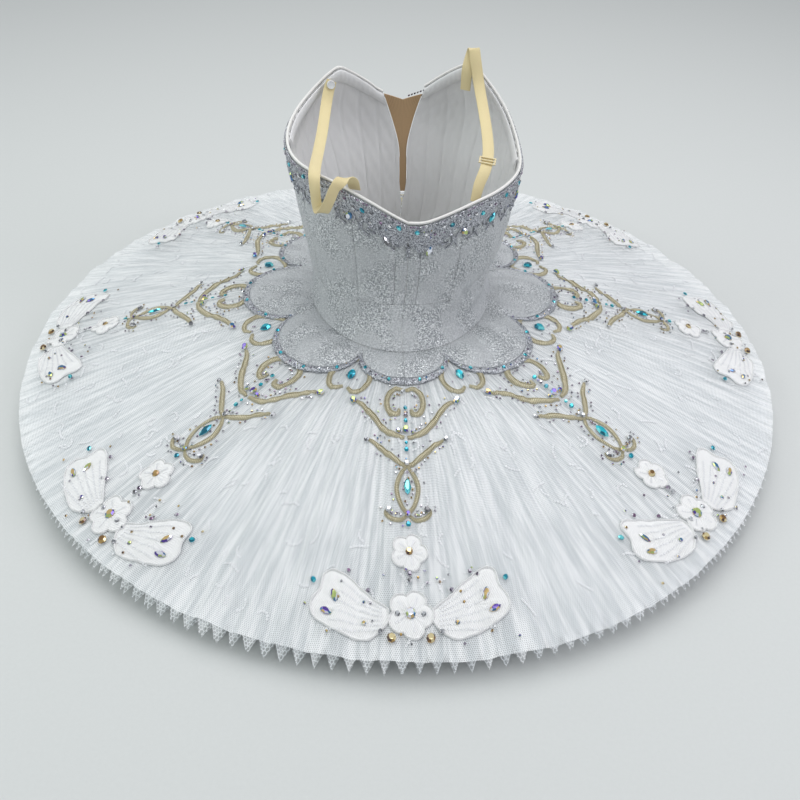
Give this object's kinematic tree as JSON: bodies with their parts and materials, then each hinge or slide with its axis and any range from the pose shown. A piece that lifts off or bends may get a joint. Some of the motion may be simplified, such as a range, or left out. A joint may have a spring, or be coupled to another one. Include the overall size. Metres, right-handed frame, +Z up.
{
  "type": "ballet tutu",
  "caption": "Classical pancake tutu standing by itself: boned silver bodice with low back, scalloped peplum and a wide plate of stacked white net with beaded decoration.",
  "frame": {"origin": "on the surface it stands on, under the middle of the skirt plate", "axes": "+Z up through the bodice, -Y towards the centre back closure, +X to the right seen from behind"},
  "size_m": [0.992, 0.992, 0.4077],
  "materials": {
    "brocade": "silver foil brocade, crackled, half bright",
    "silver_lace": "glitter corded lace with small stones",
    "lining": "soft satin with light wrinkles",
    "nude_mesh": "matte stretch mesh",
    "elastic": "ribbed matte elastic",
    "cotton": "plain matte",
    "sequin_net": "white hexagonal net with small clear sequins",
    "net": "stiff white hexagonal net",
    "white_lace": "white embroidered lace",
    "gold_cord": "pale gold metallic cord",
    "sequin": "clear iridescent",
    "clear_stone": "faceted, foil backed",
    "teal_stone": "faceted, foil backed",
    "clear_plastic": "polished",
    "elastic_hardware": "coated, smooth"
  },
  "bodies": {
    "root": {"bodice_placket_left": "brocade", "bodice_back_left": "brocade", "bodice_side_back_left": "brocade", "bodice_side_left": "brocade", "bodice_side_front_left": "brocade", "bodice_cup_left": "brocade", "basque_left": "brocade", "lining_back_left": "lining", "lining_front_left": "lining", "neck_lace_left": "silver_lace", "cup_band_left": "lining", "neck_piping_left": "lining", "peplum_left": "brocade", "peplum_lace_left": "silver_lace", "strap_left": "elastic", "bodice_placket_right": "brocade", "bodice_back_right": "brocade", "bodice_side_back_right": "brocade", "bodice_side_right": "brocade", "bodice_side_front_right": "brocade", "bodice_cup_right": "brocade", "basque_right": "brocade", "lining_back_right": "lining", "lining_front_right": "lining", "neck_lace_right": "silver_lace", "cup_band_right": "lining", "neck_piping_right": "lining", "peplum_right": "brocade", "peplum_lace_right": "silver_lace", "strap_right": "elastic", "nude_insert": "nude_mesh", "net_top": "sequin_net", "net_tier_2": "net", "net_tier_3": "net", "net_tier_4": "net", "net_tier_5": "net", "net_tier_6": "net", "net_tier_7": "net", "net_tier_8": "net", "knickers_back": "cotton", "knickers_front": "cotton", "knickers_gusset": "cotton", "strap_button": "clear_plastic", "strap_slider": "elastic_hardware"}
  },
  "joints": []
}
